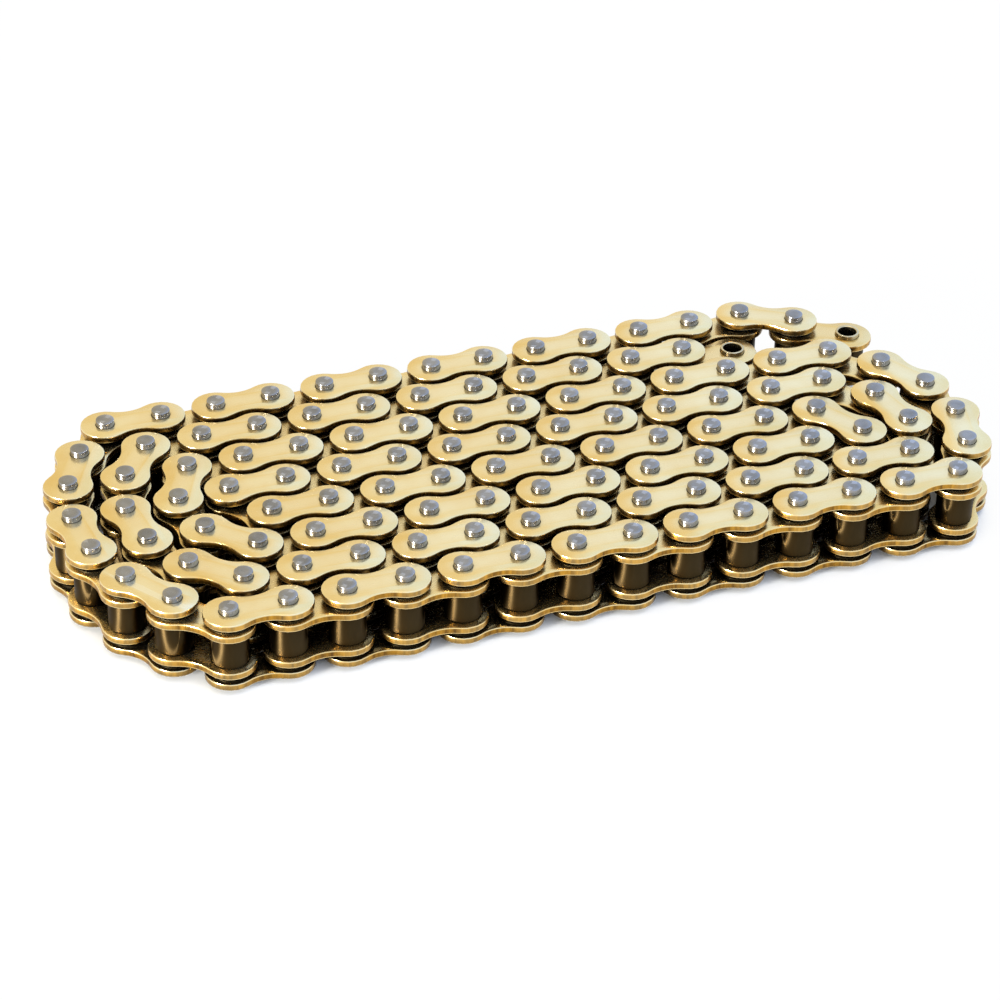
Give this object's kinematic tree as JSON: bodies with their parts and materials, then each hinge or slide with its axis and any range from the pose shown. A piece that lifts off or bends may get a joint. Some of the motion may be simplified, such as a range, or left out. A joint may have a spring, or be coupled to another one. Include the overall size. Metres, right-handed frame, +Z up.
{
  "type": "motorcycle drive chain",
  "caption": "Gold sealed roller chain coiled flat on its side, waisted link plates on proud steel pins, rollers between them, both ends open for a connecting link.",
  "frame": {"origin": "on the surface under the coil, below the centre of its box", "axes": "+X along the straight strands toward the free ends, +Y toward the back strand with the swinging tail, +Z up along the pins"},
  "size_m": [0.2602, 0.1098, 0.0239],
  "materials": {
    "gold_plate": "bright gold plating on polished steel",
    "gold_inner_plate": "gold plating on polished steel",
    "steel_pin": "ground steel",
    "steel_bush": "satin steel",
    "steel_roller": "dark oiled steel",
    "seal_rubber": "black, greased"
  },
  "bodies": {
    "coil": {"coil_run_01": "gold_plate", "coil_run_02": "gold_plate", "coil_run_03": "gold_plate", "coil_run_04": "gold_plate", "coil_run_05": "gold_plate", "coil_run_06": "gold_plate", "coil_run_07": "gold_plate", "coil_run_08": "gold_plate", "coil_run_09": "gold_plate", "coil_run_10": "gold_plate", "coil_run_11": "gold_plate", "coil_run_12": "gold_plate", "coil_run_13": "gold_plate", "coil_run_14": "gold_plate"},
    "start_link": {"start_inner_link": "gold_inner_plate"},
    "tail_01": {"tail_01_inner_link": "gold_inner_plate"},
    "tail_02": {"tail_02_outer_link": "gold_plate"},
    "tail_03": {"tail_03_inner_link": "gold_inner_plate"},
    "tail_04": {"tail_04_outer_link": "gold_plate"},
    "tail_05": {"tail_05_inner_link": "gold_inner_plate"},
    "tail_06": {"tail_06_outer_link": "gold_plate"},
    "tail_07": {"tail_07_inner_link": "gold_inner_plate"},
    "tail_08": {"tail_08_outer_link": "gold_plate"},
    "tail_09": {"tail_09_inner_link": "gold_inner_plate"},
    "tail_10": {"tail_10_outer_link": "gold_plate"},
    "tail_11": {"tail_11_inner_link": "gold_inner_plate"},
    "tail_12": {"tail_12_outer_link": "gold_plate"},
    "tail_13": {"tail_13_inner_link": "gold_inner_plate"},
    "tail_14": {"tail_14_outer_link": "gold_plate"},
    "tail_15": {"tail_15_inner_link": "gold_inner_plate"},
    "tail_16": {"tail_16_outer_link": "gold_plate"},
    "tail_17": {"tail_17_inner_link": "gold_inner_plate"},
    "tail_18": {"tail_18_outer_plate_top": "gold_plate", "tail_18_outer_plate_bottom": "gold_plate", "tail_18_pin_a": "steel_pin", "tail_18_seal_a_top": "seal_rubber", "tail_18_seal_a_bottom": "seal_rubber", "tail_18_pin_b": "steel_pin", "tail_18_seal_b_top": "seal_rubber", "tail_18_seal_b_bottom": "seal_rubber"},
    "tail_19": {"tail_19_inner_plate_top": "gold_inner_plate", "tail_19_inner_plate_bottom": "gold_inner_plate", "tail_19_bush_a": "steel_bush", "tail_19_bush_b": "steel_bush"},
    "tail_19_roller_a": {"tail_19_roller_a": "steel_roller"},
    "tail_19_roller_b": {"tail_19_roller_b": "steel_roller"},
    "tail_20": {"tail_20_outer_plate_top": "gold_plate", "tail_20_outer_plate_bottom": "gold_plate", "tail_20_pin_a": "steel_pin", "tail_20_seal_a_top": "seal_rubber", "tail_20_seal_a_bottom": "seal_rubber", "tail_20_pin_b": "steel_pin", "tail_20_seal_b_top": "seal_rubber", "tail_20_seal_b_bottom": "seal_rubber"},
    "tail_21": {"tail_21_inner_plate_top": "gold_inner_plate", "tail_21_inner_plate_bottom": "gold_inner_plate", "tail_21_bush_a": "steel_bush", "tail_21_bush_b": "steel_bush"},
    "tail_21_roller_a": {"tail_21_roller_a": "steel_roller"},
    "tail_21_roller_b": {"tail_21_roller_b": "steel_roller"}
  },
  "joints": [
    {"name": "start_hinge", "type": "hinge", "parent": "coil", "child": "start_link", "pos_m": [0.06284, 0.0344, 0], "axis": [0, 0, 1], "range_deg": [-3, 3]},
    {"name": "hinge_01", "type": "hinge", "parent": "coil", "child": "tail_01", "pos_m": [-0.09591, -0.04809, 0], "axis": [0, 0, 1], "range_deg": [0, 22]},
    {"name": "hinge_02", "type": "hinge", "parent": "tail_01", "child": "tail_02", "pos_m": [-0.108, -0.0378, 0], "axis": [0, 0, 1], "range_deg": [0, 22]},
    {"name": "hinge_03", "type": "hinge", "parent": "tail_02", "child": "tail_03", "pos_m": [-0.11702, -0.02474, 0], "axis": [0, 0, 1], "range_deg": [0, 22]},
    {"name": "hinge_04", "type": "hinge", "parent": "tail_03", "child": "tail_04", "pos_m": [-0.12237, -0.00979, 0], "axis": [0, 0, 1], "range_deg": [0, 22]},
    {"name": "hinge_05", "type": "hinge", "parent": "tail_04", "child": "tail_05", "pos_m": [-0.12367, 0.00603, 0], "axis": [0, 0, 1], "range_deg": [0, 22]},
    {"name": "hinge_06", "type": "hinge", "parent": "tail_05", "child": "tail_06", "pos_m": [-0.12085, 0.02165, 0], "axis": [0, 0, 1], "range_deg": [0, 22]},
    {"name": "hinge_07", "type": "hinge", "parent": "tail_06", "child": "tail_07", "pos_m": [-0.11409, 0.03601, 0], "axis": [0, 0, 1], "range_deg": [0, 22]},
    {"name": "hinge_08", "type": "hinge", "parent": "tail_07", "child": "tail_08", "pos_m": [-0.10385, 0.04814, 0], "axis": [0, 0, 1], "range_deg": [0, 22]},
    {"name": "hinge_09", "type": "hinge", "parent": "tail_08", "child": "tail_09", "pos_m": [-0.08797, 0.04814, 0], "axis": [0, 0, 1], "range_deg": [0, 22]},
    {"name": "hinge_10", "type": "hinge", "parent": "tail_09", "child": "tail_10", "pos_m": [-0.0721, 0.04814, 0], "axis": [0, 0, 1], "range_deg": [0, 22]},
    {"name": "hinge_11", "type": "hinge", "parent": "tail_10", "child": "tail_11", "pos_m": [-0.05622, 0.04814, 0], "axis": [0, 0, 1], "range_deg": [0, 22]},
    {"name": "hinge_12", "type": "hinge", "parent": "tail_11", "child": "tail_12", "pos_m": [-0.04035, 0.04814, 0], "axis": [0, 0, 1], "range_deg": [0, 22]},
    {"name": "hinge_13", "type": "hinge", "parent": "tail_12", "child": "tail_13", "pos_m": [-0.02447, 0.04814, 0], "axis": [0, 0, 1], "range_deg": [0, 22]},
    {"name": "hinge_14", "type": "hinge", "parent": "tail_13", "child": "tail_14", "pos_m": [-0.0086, 0.04814, 0], "axis": [0, 0, 1], "range_deg": [0, 22]},
    {"name": "hinge_15", "type": "hinge", "parent": "tail_14", "child": "tail_15", "pos_m": [0.00728, 0.04814, 0], "axis": [0, 0, 1], "range_deg": [0, 22]},
    {"name": "hinge_16", "type": "hinge", "parent": "tail_15", "child": "tail_16", "pos_m": [0.02315, 0.04814, 0], "axis": [0, 0, 1], "range_deg": [0, 22]},
    {"name": "hinge_17", "type": "hinge", "parent": "tail_16", "child": "tail_17", "pos_m": [0.03903, 0.04814, 0], "axis": [0, 0, 1], "range_deg": [0, 22]},
    {"name": "hinge_18", "type": "hinge", "parent": "tail_17", "child": "tail_18", "pos_m": [0.0549, 0.04814, 0], "axis": [0, 0, 1], "range_deg": [0, 22]},
    {"name": "hinge_19", "type": "hinge", "parent": "tail_18", "child": "tail_19", "pos_m": [0.07078, 0.04814, 0], "axis": [0, 0, 1], "range_deg": [0, 22]},
    {"name": "hinge_20", "type": "hinge", "parent": "tail_19", "child": "tail_20", "pos_m": [0.08665, 0.04814, 0], "axis": [0, 0, 1], "range_deg": [0, 22]},
    {"name": "hinge_21", "type": "hinge", "parent": "tail_20", "child": "tail_21", "pos_m": [0.1004, 0.04021, 0], "axis": [0, 0, 1], "range_deg": [0, 22]},
    {"name": "tail_19_roller_a_spin", "type": "hinge", "parent": "tail_19", "child": "tail_19_roller_a", "pos_m": [0.07078, 0.04814, 0], "axis": [0, 0, 1], "continuous": true},
    {"name": "tail_19_roller_b_spin", "type": "hinge", "parent": "tail_19", "child": "tail_19_roller_b", "pos_m": [0.08665, 0.04814, 0], "axis": [0, 0, 1], "continuous": true},
    {"name": "tail_21_roller_a_spin", "type": "hinge", "parent": "tail_21", "child": "tail_21_roller_a", "pos_m": [0.1004, 0.04021, 0], "axis": [0, 0, 1], "continuous": true},
    {"name": "tail_21_roller_b_spin", "type": "hinge", "parent": "tail_21", "child": "tail_21_roller_b", "pos_m": [0.11415, 0.03227, 0], "axis": [0, 0, 1], "continuous": true}
  ]
}
